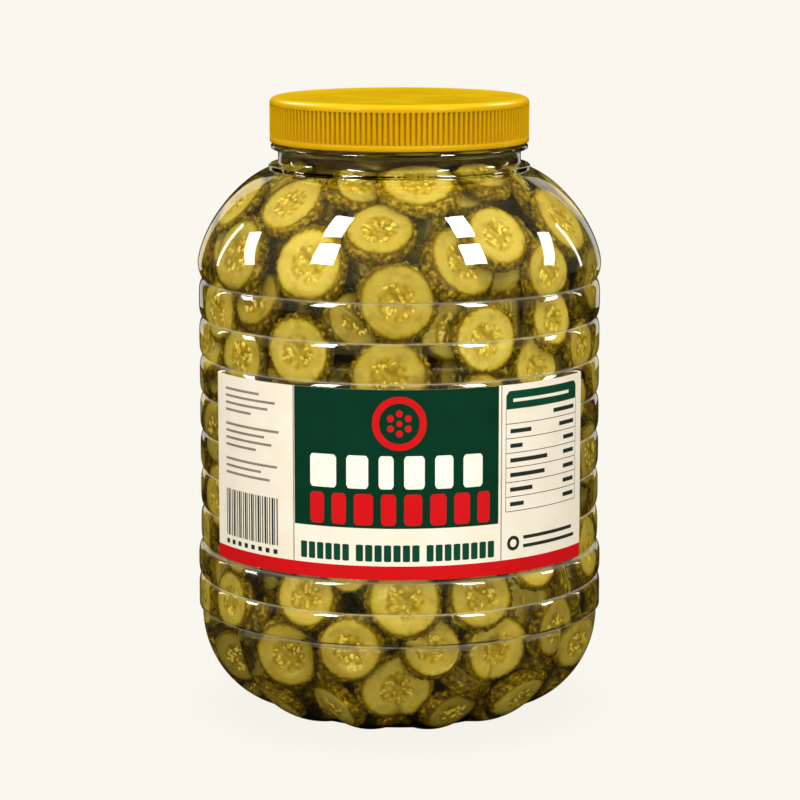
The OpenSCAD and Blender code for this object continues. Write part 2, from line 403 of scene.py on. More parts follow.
def printedPaper(name, colour, deeper):
    # coated paper, printed: smooth, semi-matt, with a trace of cloudiness 12 mm wide
    material, tree = newMaterial(name)
    space = addNode(tree, "TexCoord").outputs["Object"]
    cloud = addNode(tree, "TexNoise", {"Vector": space, "Scale": 1 / (12 * mm), "Detail": 3.0})
    fibre = addNode(tree, "TexNoise", {"Vector": space, "Scale": 1 / (0.7 * mm), "Detail": 3.0})
    tint = addNode(tree, "ValToRGB", {0: cloud}, [(0.3, deeper), (0.6, colour)])
    gloss = addNode(tree, "MapRange", {0: fibre, 1: 0.3, 2: 0.7, 3: 0.42, 4: 0.52})
    relief = addNode(tree, "Bump", {"Height": fibre, "Strength": 0.05, "Distance": 0.05 * mm})
    body = addNode(tree, "BsdfPrincipled", {"Base Color": tint, "Roughness": gloss,
                                            "Specular IOR Level": 0.1, "Normal": relief})
    return finishMaterial(material, body)


pet = petPlastic()
brine = brineLiquid()
flesh = gherkinFlesh()
seedSkin = seedCoat()
heap = deepHeap()
polypropylene = lidPlastic()


def makeJar():
    # outside up to the rim, then inside down again, as one closed shell
    ringZ = lidLow[2] - jar["ringDrop"] - jar["ringThick"] / 2
    neckR = jar["neckRadius"]
    half = jar["ringThick"] / 2
    step = neckR + 4.2
    outside = [(step - 0.2, neckZ - 0.9), (step, neckZ - 0.4), (step, neckZ + 0.3), (step - 0.5, neckZ + 0.9),
               (step - 1.8, neckZ + 1.3), (neckR + 0.5, neckZ + 1.9), (neckR, neckZ + 2.8),
               (neckR, ringZ - half - 0.8), (neckR + 0.4, ringZ - half - 0.2)]
    lip = jar["ringRadius"]
    outside += [(lip - 0.9, ringZ - half + 0.25), (lip - 0.2, ringZ - half + 0.6), (lip, ringZ - half + 1.0),
                (lip, ringZ + half - 1.0), (lip - 0.2, ringZ + half - 0.6), (lip - 0.9, ringZ + half - 0.25),
                (neckR + 0.4, ringZ + half), (neckR, ringZ + half + 0.3)]
    for threadZ in (rimZ - 10.6, rimZ - 4.6):
        for out, up in ((0, -1.2), (0.7, -0.8), (1, -0.3), (1, 0.3), (0.7, 0.8), (0, 1.2)):
            outside.append((neckR + out * jar["threadOut"], threadZ + up))
    outside += [(neckR, rimZ - 0.5), (neckR - 0.15, rimZ - 0.15), (neckR - 0.5, rimZ)]
    inside = [(throatR, z) for z in (neckZ + 3, rimZ - 12, rimZ - 0.5)]
    inside += [(throatR + 0.15, rimZ - 0.15), (throatR + 0.5, rimZ)]
    outerR, outerZ = shapeInside(0, 0, neckR, roundTurns, outside, step)
    innerR, innerZ = shapeInside(jar["wall"], jar["floor"], throatR, roundTurns, inside)
    radii = np.concatenate([outerR, innerR[::-1]])
    heights = np.concatenate([outerZ, innerZ[::-1]])
    shape = roundGrid(radii, heights, jar["hollowHeight"], jar["hollowHeight"] + jar["floor"], roundTurns)
    piece = buildPiece("jarShell", *shape, pet, "clear_plastic", ["jar"])
    # painted highlight: a pale line at the bottom of each groove outside, a bell curve creaseWidth to each
    # side
    grooves = baseH + jar["narrowPitch"] * np.arange(jar["narrowHoops"] + 1)
    grooves = np.append(grooves, hoopsZ + jar["hoopPitch"] * np.arange(1, jar["hoops"] + 1))
    away = np.abs(heights[:, None] - grooves).min(axis=1) / jar["creaseWidth"]
    scuff = np.exp(-away ** 2) * (np.arange(len(heights)) < len(outerZ))
    writeAttribute(piece, "scuff", np.concatenate([[0], np.repeat(scuff, len(roundTurns)), [0]]))
    return piece


def makeBrine():
    # the liquid reaches halfway into the wall, so that no air gap shows
    inset = jar["wall"] / 2
    pipeR = throatR + jar["neckWall"] / 2
    top = [(pipeR, neckZ + 3), (pipeR, brineTop - 0.4), (pipeR - 0.4, brineTop), (pipeR / 2, brineTop)]
    radii, heights = shapeInside(inset, jar["floor"] / 2, pipeR, roundTurns, top)
    shape = roundGrid(radii, heights, jar["hollowHeight"] + jar["floor"] / 2, brineTop, roundTurns)
    return buildPiece("brineFill", *shape, brine, "gherkins", ["contents"])


gherkins = dict(
    gap=0.5,                 # between a slice and the wall
    thick=(7.6, 10.2),
    radius=(11.5, 17.0),
    columns=(90, 44),        # round a slice, in the outer layer and behind it
    perColumn=40,            # triangles for each column of a slice
    mostTriangles=180000,    # in one piece
    warts=0.035,             # roughness of the outline, as a share of the radius
    # slices that lie against the wall at the front:
    # angle round from the front, height, radius, lean up, turn to the right
    front=[
        (-39, 224, 15.0, 38, -12), (-14, 236, 13.5, 48, 4), (8, 231, 17.2, 42, 6), (33, 228, 13.0, 30, 42),
        (-25, 206, 16.3, 14, -4), (-7, 219, 15.0, 66, -10), (18, 209, 16.4, 46, 12), (32, 214, 14.5, 44, 18),
        (0, 194, 16.8, 3, -2), (-26, 174, 15.6, 4, -6), (25, 176, 14.8, 3, 3), (-2, 164, 16.6, 10, -6),
        (49, 184, 12.6, 4, 10), (-51, 168, 13.4, 6, -14), (-48, 186, 13.5, 34, -6), (-15, 187, 13.5, 22, 44),
        (44, 164, 13.0, 26, 8), (63, 170, 12.0, 5, 0), (27, 239, 12.5, 52, 6), (61, 217, 16.5, 30, 8),
        (-54, 204, 16.5, 10, -4), (45, 202, 12.8, 24, 6), (-56, 59, 13.5, 4, -26), (-27, 64, 14.0, 44, 4),
        (1, 64, 16.2, 34, 2), (24, 65, 14.8, 56, 4), (-36, 39, 15.4, 0, -4), (-1, 27, 16.8, 4, 2),
        (29, 38, 15.6, 2, 2), (-13, 47, 14.5, -26, -8), (50, 48, 13.6, 6, 10), (-66, 30, 13.0, -6, -4),
        (-20, 18, 12.5, 12, -20), (18, 17, 12.0, 20, 12), (70, 36, 13.0, -4, 4), (44, 19, 13.0, -20, 12),
        (9, 44, 13.0, 34, 40), (-72, 226, 15.0, 34, 0), (-62, 186, 14.5, 6, 8), (74, 196, 14.8, 6, 0)],
)


def wallTable():
    # inside radius of the wall for every millimetre of height and every column
    heights = np.arange(0.0, math.ceil(brineTop) + 2)
    low = baseRadii(roundTurns, np.clip(heights, jar["floor"], baseH), jar["wall"])
    sideR, sideZ = bodyProfile(jar["wall"], throatR)
    high = np.interp(heights, np.append(sideZ, rimZ), np.append(sideR, throatR))
    return np.where((heights < baseH)[:, None], low, high[:, None])


wallR = wallTable()


def wallAt(x, y, z):
    # the table's entry nearest to each place
    row = np.clip(np.round(z).astype(int), 0, len(wallR) - 1)
    column = np.round((np.arctan2(y, x) + math.pi / 2) / (2 * math.pi) * jar["columns"]).astype(int)
    return wallR[row, column % jar["columns"]]


def keepInside(points):
    # what would cut the wall is pressed flat against it instead
    reach = np.hypot(points[..., 0], points[..., 1])
    room = wallAt(points[..., 0], points[..., 1], points[..., 2]) - 0.3
    squeeze = np.minimum(1, room / np.maximum(reach, 1e-6))
    pressed = points * np.stack([squeeze, squeeze, np.ones_like(squeeze)], axis=-1)
    pressed[..., 2] = np.clip(pressed[..., 2], jar["floor"] + 0.4, brineTop - 0.6)
    return pressed


def facing(angle, lean, turn):
    # unit vectors out of a slice's face and along its two diameters
    bearing, up = np.radians(angle + turn), np.radians(lean)
    out = np.stack([np.sin(bearing) * np.cos(up), -np.cos(bearing) * np.cos(up), np.sin(up)], axis=-1)
    side = np.stack([np.cos(bearing), np.sin(bearing), np.zeros_like(bearing)], axis=-1)
    return np.stack([side, np.cross(out, side), out], axis=-1)


def scatterSlices():
    # the chosen front slices first, then two more layers at random places that
    # keep a share of their width apart
    rows = [(*chosen, 0.0, 0.08) for chosen in gherkins["front"]]
    small, large = gherkins["radius"]
    layers = [dict(depth=0.0, apart=0.84, tries=5200, lean=(14, 16), turn=14, pin=0.6),
              dict(depth=10.0, apart=0.72, tries=4200, lean=(10, 30), turn=34, pin=1.0),
              dict(depth=20.0, apart=0.84, tries=2600, lean=(20, 34), turn=40, pin=1.0)]
    for layer in layers:
        here = [r for r in rows if abs(r[5] - layer["depth"]) < 1]
        for _ in range(layer["tries"]):
            angle, height = chance.uniform(-180, 180), chance.uniform(12, neckZ - 5)
            radius = chance.uniform(small, large)
            bearing = math.radians(angle)
            reach = wallAt(math.sin(bearing), -math.cos(bearing), height) - (layer["depth"] + 5)
            turned = math.radians(1) * reach
            clear = all(math.hypot(((angle - r[0] + 180) % 360 - 180) * turned, height - r[1])
                        > layer["apart"] * (radius + r[2]) for r in here)
            if not clear:
                continue
            slope = max(0.0, height - shoulderZ - 8)
            lean = chance.normal(layer["lean"][0] * 0.5 + slope, layer["lean"][1])
            row = (angle, height, radius, lean, chance.normal(0, layer["turn"]), layer["depth"], layer["pin"])
            here.append(row)
            rows.append(row)
    return np.array(rows)


def settleSlices(rows, steps):
    # Slices are pushed apart as bundles of balls: a ring of ten and a ring of
    # four in each, as thick as the slice. Where two balls overlap, each moves
    # half the way out and turns its slice; the wall pushes balls back inside.
    angle, height, radius, lean, turn, depth, loose = rows.T
    thick = chance.uniform(*gherkins["thick"], len(rows)) / 2
    frames = facing(angle, lean, turn)
    outward = np.stack([np.sin(np.radians(angle)), -np.cos(np.radians(angle))], axis=-1)
    start = wallAt(outward[:, 0], outward[:, 1], height) - depth - thick - 2.0
    middle = np.concatenate([outward * start[:, None], height[:, None]], axis=1)
    ring = np.radians(np.arange(10) * 36)
    inner = np.radians(np.arange(4) * 90 + 20)
    plan = np.concatenate([np.stack([np.cos(ring), np.sin(ring)], axis=-1),
                           0.42 * np.stack([np.cos(inner), np.sin(inner)], axis=-1)])
    offsets = (radius - thick)[:, None, None] * plan
    share = loose / loose.max()
    for _ in range(steps):
        arms = np.einsum("nij,nsj->nsi", frames[:, :, :2], offsets)
        balls = middle[:, None] + arms
        push = np.zeros_like(balls)
        hits = np.full(len(rows), 1e-6)
        gaps = np.linalg.norm(middle[:, None] - middle[None], axis=-1)
        one, two = np.nonzero(np.triu(gaps < radius[:, None] + radius[None], 1))
        apart = balls[one][:, :, None] - balls[two][:, None]
        far = np.linalg.norm(apart, axis=-1)
        over = np.maximum((thick[one] + thick[two])[:, None, None] - far, 0)
        shove = apart / np.maximum(far, 1e-6)[..., None] * over[..., None]
        weight = (share[one] / (share[one] + share[two]))[:, None, None]
        np.add.at(push, one, shove.sum(axis=2) * weight)
        np.add.at(push, two, -shove.sum(axis=1) * (1 - weight))
        np.add.at(hits, one, (over > 0).sum(axis=(1, 2)))
        np.add.at(hits, two, (over > 0).sum(axis=(1, 2)))
        # the wall, the floor and the top of the brine
        reach = np.hypot(balls[..., 0], balls[..., 1])
        room = wallAt(balls[..., 0], balls[..., 1], balls[..., 2]) - thick[:, None] - gherkins["gap"]
        excess = np.maximum(reach - room, 0)
        push[..., :2] -= balls[..., :2] / reach[..., None] * excess[..., None] * 1.4
        under = np.maximum(jar["floor"] + jar["hollowHeight"] * 0.6 + thick[:, None] - balls[..., 2], 0)
        above = np.maximum(balls[..., 2] - (neckZ + 4 - thick[:, None]), 0)
        push[..., 2] += under - above
        hits += ((excess > 0) | (under > 0) | (above > 0)).sum(axis=1)
        middle += push.sum(axis=1) / np.maximum(hits, 3)[:, None] * 1.3
        twist = np.cross(arms, push).sum(axis=1) / (np.maximum(hits, 3) * radius ** 2 * 0.5)[:, None]
        twist *= np.minimum(1, 0.12 / np.maximum(np.linalg.norm(twist, axis=1), 1e-9))[:, None]
        frames = frames + np.cross(twist[:, None], frames.transpose(0, 2, 1)).transpose(0, 2, 1)
        frames[:, :, 2] /= np.linalg.norm(frames[:, :, 2], axis=1)[:, None]
        frames[:, :, 0] -= frames[:, :, 2] * (frames[:, :, 0] * frames[:, :, 2]).sum(axis=1)[:, None]
        frames[:, :, 0] /= np.linalg.norm(frames[:, :, 0], axis=1)[:, None]
        frames[:, :, 1] = np.cross(frames[:, :, 2], frames[:, :, 0])
        # the outer layer leans gently on the wall
        outer = depth < 1
        middle[outer, :2] += 0.05 * middle[outer, :2] / np.linalg.norm(middle[outer, :2], axis=1)[:, None]
    print(f"slices settled: {len(rows)}, deepest overlap left {over.max():.2f} mm")
    return middle, frames, radius, thick


def sliceGrid(middle, frames, radius, thick, columns):
    # Rings out over the front face, down the skin and in over the back face.
    # A point is the slice's middle plus its share of the radius along the two
    # diameters plus its share of the half thickness along the face.
    count = len(middle)
    out = np.array([0.2, 0.36, 0.5, 0.63, 0.76, 0.85, 0.91, 0.965])
    level = np.array([0.86, 0.90, 0.93, 1.0, 1.0, 0.98, 0.93, 0.80])
    share = np.concatenate([out, [1.0, 1.03, 1.03, 1.0], out[::-1]])
    lift = np.concatenate([level, [0.55, 0.20, -0.20, -0.55], -level[::-1]])
    skin = np.concatenate([np.zeros(6), [0.35, 1.0], np.ones(4), [1.0, 0.35], np.zeros(6)])
    turns = 2 * math.pi * np.arange(columns) / columns
    phase = chance.uniform(0, 2 * math.pi, (count, 8))
    # outline: slow waves make it less than round, quick ones are the warts
    outline = np.ones((count, columns))
    for k, (waves, size) in enumerate([(2, 0.035), (3, 0.02), (5, 0.01), (11, 0.006)]):
        outline += size * np.cos(waves * turns + phase[:, k:k + 1])
    scallop = 0.5 + 0.5 * np.cos(28 * turns + 1.5 * np.cos(3 * turns + phase[:, 4:5]))
    scallops = 0.055 * (scallop ** 2)[:, None] * ((share - 0.85) / 0.15).clip(0, 1)[:, None]
    rough = np.clip(chance.normal(0, 1, (count, len(share), columns)), -1.8, 1.8)
    warts = gherkins["warts"] * rough * (share[:, None] > 0.96)
    spread = radius[:, None, None] * share[:, None] * (outline[:, None] + warts * 0.5 - scallops)
    # flesh: three seed chambers sink a little, and the whole face is uneven
    chambers = np.cos(3 * turns + phase[:, 5:6])[:, None] * np.exp(-((share - 0.4) / 0.18) ** 2)[:, None]
    relief = 0.05 * chambers + 0.018 * rough * (share[:, None] < 0.96)
    height = thick[:, None, None] * (lift[:, None] + np.sign(lift)[:, None] * relief)
    # a slice is slightly dished and never cut quite straight
    height = height + 0.5 * np.cos(turns + phase[:, 6:7])[:, None] * share[:, None]
    flat = np.stack([spread * np.cos(turns), spread * np.sin(turns), height], axis=-1)
    poles = np.stack([0 * thick, 0 * thick, thick * 0.86], axis=-1)
    points = np.concatenate([poles[:, None], flat.reshape(count, -1, 3), -poles[:, None]], axis=1)
    world = keepInside(middle[:, None] + np.einsum("nij,npj->npi", frames, points))
    spots = np.zeros_like(points)
    spots[..., :2] = points[..., :2] / radius[:, None, None]
    skins = np.concatenate([[0], np.repeat(skin, columns), [0]])
    quads, tips = (faces[:, ::-1] for faces in closedFaces(len(share), columns))
    return world, spots, skins, quads, tips


def makeSlices(settled, name, chosen, columns):
    # one batch, with what its material reads: the place across the slice, where
    # the skin is, and how dark the whole slice is
    middle, frames, radius, thick = (part[chosen] for part in settled)
    world, spots, skins, quads, tips = sliceGrid(middle, frames, radius, thick, columns)
    count, each = world.shape[:2]
    piece = buildCopies(name, world, quads, tips, flesh)
    writeAttribute(piece, "spot", spots.reshape(-1, 3))
    writeAttribute(piece, "skin", np.tile(skins, count))
    writeAttribute(piece, "tone", np.repeat(chance.uniform(0.25, 1.0, count), each))
    return piece


seeds = dict(
    perSlice=21, columns=6, rings=2,
    length=(1.0, 1.55),      # half of it
    slim=(0.55, 0.75),       # width as a share of the length
    thick=0.55, proud=0.89,  # half thickness, and height as a share of the slice's
    scatter=0.55,            # how far a seed strays round its chamber, and turns
    inner=0.08, spread=0.40,  # places out from the middle, as shares of the radius
)


def makeSeeds(settled, name, chosen):
    # seeds stand in the front faces of the slices, in three chambers, each an
    # ellipsoid pointing away from the middle
    middle, frames, radius, thick = (part[chosen] for part in settled)
    every = (len(middle), seeds["perSlice"])
    chamber = np.arange(seeds["perSlice"]) % 3 * (2 * math.pi / 3)
    turn = chamber + chance.normal(0, seeds["scatter"], every) + chance.uniform(0, 2, (len(middle), 1))
    away = seeds["inner"] + seeds["spread"] * np.sqrt(chance.uniform(0, 1, every))
    length = chance.uniform(*seeds["length"], every)
    wide = length * chance.uniform(*seeds["slim"], every)
    skew = turn + chance.normal(0, seeds["scatter"], every)
    latitude = math.pi * (np.arange(1, seeds["rings"] + 1) / (seeds["rings"] + 1) - 0.5)
    turns = 2 * math.pi * np.arange(seeds["columns"]) / seeds["columns"]
    ball = np.stack([np.outer(np.cos(latitude), np.cos(turns)), np.outer(np.cos(latitude), np.sin(turns)),
                     np.outer(np.sin(latitude), np.ones(len(turns)))], axis=-1).reshape(-1, 3)
    ball = np.concatenate([[[0, 0, -1]], ball, [[0, 0, 1]]])
    along = ball[:, 0] * length[..., None]
    over = ball[:, 1] * wide[..., None]
    x = away[..., None] * radius[:, None, None] * np.cos(turn)[..., None]
    y = away[..., None] * radius[:, None, None] * np.sin(turn)[..., None]
    x = x + along * np.cos(skew)[..., None] - over * np.sin(skew)[..., None]
    y = y + along * np.sin(skew)[..., None] + over * np.cos(skew)[..., None]
    z = np.broadcast_to(seeds["proud"] * thick[:, None, None] + seeds["thick"] * ball[:, 2], x.shape)
    world = keepInside(middle[:, None, None]
                       + np.einsum("nij,nspj->nspi", frames, np.stack([x, y, z], axis=-1)))
    return buildCopies(name, world.reshape(-1, len(ball), 3), *closedFaces(seeds["rings"], seeds["columns"]),
                       seedSkin)


core = dict(
    rings=60, columns=72, low=10, belowTop=4,
    behind=(30, 12),         # how far in from the wall, in the body and in the neck
    ends=0.6, lump=3.0,
)


def makeHeap():
    # the dark middle of the heap: a column whose radius is the wall's, less a
    # distance in, plus lumps from two crossed waves
    heights = np.linspace(core["low"], brineTop - core["belowTop"], core["rings"])
    turns = 2 * math.pi * np.arange(core["columns"]) / core["columns"] - math.pi / 2
    reach = np.interp(heights, np.arange(len(wallR)), wallR.min(axis=1))
    reach = reach - np.interp(heights, [neckZ - 22, neckZ + 2], core["behind"])
    reach[[0, -1]] *= core["ends"]
    lumps = core["lump"] * np.cos(5 * turns + heights[:, None] / 7) * np.cos(heights[:, None] / 9 + 2 * turns)
    shape = roundGrid(np.maximum(reach[:, None] + lumps, 8), heights, heights[0], heights[-1], turns)
    return buildPiece("heapMiddle", *shape, heap, "gherkins", ["contents"])


lid = dict(ribs=150, perRib=8, ribDepth=1.05, band=2.4, bevel=4.0, bevelHeight=2.4, edge=1.0,
           skirtIn=55.1, top=1.6)


def makeLid():
    # a cap in one closed shell; the grooves between its ribs are a raised cosine
    # to the power 2.5, which fades out at their ends, and the top sinks a little
    lidR = min(lidHigh[0], -lidLow[0], lidHigh[1])
    low, high = lidLow[2], lidHigh[2]
    columns = lid["ribs"] * lid["perRib"]
    turns = 2 * math.pi * np.arange(columns) / columns
    ribLow, ribHigh = low + lid["band"], high - lid["bevelHeight"] - lid["edge"]
    slopeR = lidR - lid["bevel"]
    rows = [(30, high - lid["top"], 0), (lid["skirtIn"] - 0.6, high - lid["top"], 0),
            (lid["skirtIn"], high - lid["top"] - 0.6, 0), (lid["skirtIn"], low + 6, 0),
            (lid["skirtIn"], low + 0.4, 0), (lid["skirtIn"] + 0.3, low + 0.05, 0), (lidR - 0.5, low, 0),
            (lidR - 0.15, low + 0.15, 0), (lidR, low + 0.5, 0), (lidR, low + 1.2, 0),
            (lidR, ribLow - 0.4, 0), (lidR - 0.12, ribLow - 0.1, 0), (lidR - 0.1, ribLow + 0.15, 0.6),
            (lidR, ribLow + 0.5, 1),
            (lidR, (ribLow + ribHigh) / 2, 1), (lidR, ribHigh - 0.5, 1), (lidR, ribHigh - 0.15, 0.6),
            (lidR, ribHigh, 0), (lidR, ribHigh + lid["edge"] * 0.5, 0)]
    bend = np.radians(np.linspace(10, 90, 7))
    rows += [(slopeR + lid["bevel"] * math.cos(b) ** 0.9,
              high - lid["bevelHeight"] * (1 - math.sin(b) ** 1.1), 0) for b in bend]
    rows += [(slopeR - 1.5, high - 0.02, 0), (slopeR - 3, high - 0.2, 0), (slopeR - 4, high - 0.3, 0),
             (30, high - 0.35, 0)]
    radii, heights, ribbed = np.array(rows).T
    tooth = (0.5 - 0.5 * np.cos(lid["ribs"] * turns)) ** 2.5
    shape = roundGrid(radii[:, None] - lid["ribDepth"] * ribbed[:, None] * tooth, heights,
                      high - lid["top"], high - 0.35, turns)
    piece = buildPiece("screwLid", *shape, polypropylene, "lid_plastic", ["lid"])
    # painted shade for the material: 0 on the top, 0.3 down the side, 1 at the bottom of a groove between
    # ribs
    side = np.where(heights < high - lid["bevelHeight"] * 0.6, 0.3, 0.0)
    deep = side[:, None] + 0.7 * ribbed[:, None] * tooth
    writeAttribute(piece, "deep", np.concatenate([[0.3], deep.ravel(), [0]]))
    return piece


label = dict(
    radius=89.05, arcRadius=89.3,    # of the paper's back, and where arc places are measured
    halfAngle=61.5, thick=0.2, ink=0.02,
    # each ink's colour, and the deeper one of its clouds
    paper=("#f0e8d8", "#ece2cf"), white=("#f6f1e6", "#f0e8d8"), grey=("#8b8577", "#7d786b"),
    red=("#cc1016", "#c50e14"), green=("#003521", "#00301e"), header=("#0b4630", "#0a3f2b"),
    table=("#26302a", "#1f2823"),
)


def field(left, right, low, high, layer, step=1.4):
    # A print field: a thin slab that follows the jar between two arc places.
    # low and high are heights, or functions of the arc place.
    count = max(2, int((right - left) / step) + 1)
    arc = np.linspace(left, right, count)
    lows = low(arc) if callable(low) else np.full(count, low)
    highs = high(arc) if callable(high) else np.full(count, high)
    inner = label["radius"] + (label["thick"] + (layer - 1) * label["ink"] if layer else 0)
    outer = label["radius"] + label["thick"] + layer * label["ink"]
    angle = arc / label["arcRadius"]
    corners = []
    for radius, height in ((inner, lows), (outer, lows), (outer, highs), (inner, highs)):
        corners.append(np.stack([radius * np.sin(angle), -radius * np.cos(angle), height], axis=-1))
    points = np.stack(corners, axis=1)
    quads = ringFaces(count, 4)
    ends = np.array([[3, 2, 1, 0], [4 * count - 4, 4 * count - 3, 4 * count - 2, 4 * count - 1]])
    return points.reshape(-1, 3), np.concatenate([quads, ends])


def roundTop(left, right, high, corner):
    # height of a top edge with a quarter circle at each end
    def edge(arc):
        near = np.clip(corner - np.minimum(arc - left, right - arc), 0, corner)
        return high - corner + np.sqrt(corner ** 2 - near ** 2)
    return edge


def roundBottom(left, right, low, corner):
    # the same upside down
    top = roundTop(left, right, 0.0, corner)
    return lambda arc: low - top(arc)


def disc(middle, height, radius, layer):
    # a field between the lower and the upper half of a circle
    def bulge(arc):
        return np.sqrt(np.maximum(radius ** 2 - (arc - middle) ** 2, 1e-4))
    return field(middle - radius, middle + radius, lambda a: height - bulge(a),
                 lambda a: height + bulge(a), layer, step=0.35)


def makeInk(name, colours, fields, stands=()):
    # fields of one colour as one piece
    corners, quads, first = [], [], 0
    for points, faces in fields:
        corners.append(points)
        quads.append(faces + first)
        first += len(points)
    piece = buildPiece(name, np.concatenate(corners), np.concatenate(quads), np.zeros((0, 3), int),
                       printedPaper(name + "Print", *colours), "label_paper", stands)
    piece.data.set_sharp_from_angle(angle=math.radians(30))
    return piece


def makeLabel():
    # the paper, then its print in layers, each one film of ink above the last
    edge = math.radians(label["halfAngle"]) * label["arcRadius"]
    low, high = labelLow[2], labelHigh[2]
    makeInk("labelPaper", label["paper"], [field(-edge, edge, low, high, 0)], ["label"])
    panelLeft, panelRight, panelLow = -46.4, 43.6, 98.5
    makeInk("labelBand", label["red"], [field(-edge, edge, low, low + 6, 1)])
    makeInk("labelPanel", label["green"], [field(panelLeft, panelRight, panelLow, high, 1)])
    # title: two rows of plain blocks on the panel, one row of small ones below
    def blocks(left, right, bottom, top, widths, gap, layer, corner=0.5):
        spare = (right - left - gap * (len(widths) - 1)) / sum(widths)
        row, place = [], left
        for width in widths:
            end = place + width * spare
            row.append(field(place, end, roundBottom(place, end, bottom, corner),
                             roundTop(place, end, top, corner), layer, step=0.7))
            place = end + gap
        return row
    white = blocks(-38.8, 36.0, 115.4, 129.6, [1.5, 1.2, 0.8, 1.1, 1.0, 1.1], 4.4, 2, 1.4)
    red = blocks(-38.8, 39.4, 99.8, 113.2, [1, 1, 1.3, 1, 1.2, 1.1, 1.1, 0.9], 3.4, 2, 1.4)
    green = []
    for left, right, count in ((-43.4, -21.5, 6), (-18.5, 8.5, 7), (11.5, 41.6, 8)):
        green += blocks(left, right, 84.2, 91.4, [1] * count, 0.9, 1, 0.25)
    # a plain ring over the title
    ring = disc(0, 143.4, 11.5, 2)
    hole = disc(0, 143.4, 8.6, 3)
    dots = [disc(4.3 * math.sin(t), 143.4 + 4.3 * math.cos(t), 1.5, 4)
            for t in np.radians(np.arange(0, 360, 60))] + [disc(0, 143.4, 1.3, 4)]
    makeInk("labelBlocksWhite", label["white"], white)
    makeInk("labelBlocksRed", label["red"], red + [ring] + dots)
    makeInk("labelRingMiddle", label["green"], [hole])
    # side panels: ruled lines, plain bars and a table
    greyFields = [field(side - 0.25, side + 0.25, low + 6, high, 1) for side in (-46.9, 45.0)]
    lines = [23, 32, 28, 18, 0, 34, 26, 30, 21, 0, 33, 24, 29]
    for k, length in enumerate(lines):
        if length:
            top = 152.5 - k * 3.05
            greyFields.append(field(-88.5, -88.5 + length, top - 1.1, top, 1))
    left, right = 47.2, 90.8
    header = [field(left, right, 147.2, roundTop(left, right, 155.0, 2.0), 1)]
    head = [field(left + 3.5, right - 6, 150.2, 151.6, 2)]
    rows = [field(place, place + (0.6, 1.0, 0.5)[k % 3], 87.5, 108.0, 1)
            for k, place in enumerate(np.arange(-88.5, -54.5, 1.36))]
    rows += [field(place, place + 2.2, 83.8, 85.8, 1) for place in np.arange(-88.5, -56, 4.4)]
    for k in range(8):
        rowTop = 147.2 - k * 6.3
        if k:
            rows.append(field(left, right, rowTop - 0.15, rowTop + 0.15, 1))
        if k < 7:
            wide = (0, 14, 8, 26, 24, 15, 9)[k]
            if wide:
                rows.append(field(left + 2.2, left + 2.2 + wide * 0.8, rowTop - 4.1, rowTop - 2.3, 1))
            back = (15, 11, 8, 8, 8, 8, 8)[k]
            rows.append(field(right - 1.8 - back, right - 1.8, rowTop - 4.1, rowTop - 2.3, 1))
    sides = [field(place - 0.12, place + 0.12, 103.1, 147.2, 1) for place in (left, right)]
    rows += [field(56.5, 88, 90.4, 91.9, 1), field(56.5, 90, 86.6, 88.1, 1)]
    rows += [disc(51.2, 89.2, 3.2, 1)]
    makeInk("labelLines", label["grey"], greyFields)
    makeInk("labelTable", label["table"], rows + sides)
    makeInk("labelHeader", label["header"], header + green)
    makeInk("labelHeaderBar", label["paper"], head + [disc(51.2, 89.2, 1.7, 2)])


makeJar()
makeBrine()
rows = scatterSlices()
settled = settleSlices(rows, 140)
number = 0
for columns, layer in zip(gherkins["columns"], (rows[:, 5] < 1, rows[:, 5] >= 1)):
    chosen = np.flatnonzero(layer)
    triangles = len(chosen) * columns * gherkins["perColumn"]
    for batch in np.array_split(chosen, math.ceil(triangles / gherkins["mostTriangles"])):
        number += 1
        makeSlices(settled, f"gherkinSlices{number}", batch, columns)
makeSeeds(settled, "gherkinSeeds", np.flatnonzero(rows[:, 5] < 15))
makeHeap()
makeLid()
makeLabel()


studio = dict(
    paper="#faf7ef", floorShade=0.05, floorReach=60.0, matt="#6c6a64",
    # softboxes, seen only as reflections in the clear wall, each with a twin on
    # the other side: middle, half width and height, facing, up, radiance
    cards=[((-0.444, -0.299, 1.047), (0.078, 0.158), (0.615, 0.550, -0.566), (0.254, 0.541, 0.802), 38),
           ((-0.601, -0.553, 0.807), (0.102, 0.158), (0.616, 0.726, -0.307), (0.130, 0.291, 0.948), 38),
           ((-0.922, 0.136, 0.568), (0.079, 0.207), (0.553, -0.008, -0.833), (0.758, 0.420, 0.500), 16),
           ((-0.790, 0.475, 0.430), (0.022, 0.200), (0.800, -0.480, -0.360), (0.300, -0.180, 0.930), 8),
           ((-0.507, 1.087, 0.400), (0.125, 0.400), (0.423, -0.906, 0.000), (0.000, 0.000, 1.000), 0.9)],
    # lamps, by what they light: turn, distance, low and high edge, width, radiance
    lamps=dict(
        gherkin=[(-42, 1.2, 0.70, 1.10, 0.32, 12), (38, 1.2, 0.70, 1.10, 0.32, 12),
                 (-30, 0.9, 0.0, 0.16, 0.35, 36), (26, 0.9, 0.0, 0.16, 0.35, 36),
                 (140, 1.2, 0.70, 1.10, 0.32, 11), (-144, 1.2, 0.70, 1.10, 0.32, 11),
                 (160, 0.9, 0.0, 0.16, 0.35, 30), (-158, 0.9, 0.0, 0.16, 0.35, 30)],
        label=[(-42, 1.2, 0.45, 1.35, 0.8, 7.4), (38, 1.2, 0.45, 1.35, 0.8, 7.4)],
        screw=[(-48, 1.2, 0.95, 1.50, 0.4, 17), (46, 1.2, 0.95, 1.50, 0.4, 17),
               (-140, 1.2, 0.95, 1.50, 0.4, 10), (136, 1.2, 0.95, 1.50, 0.4, 10)]),
    overhead=0.4,            # radiance of one more lamp, above the lid
    fill=0.62,               # strength of the room's light
)


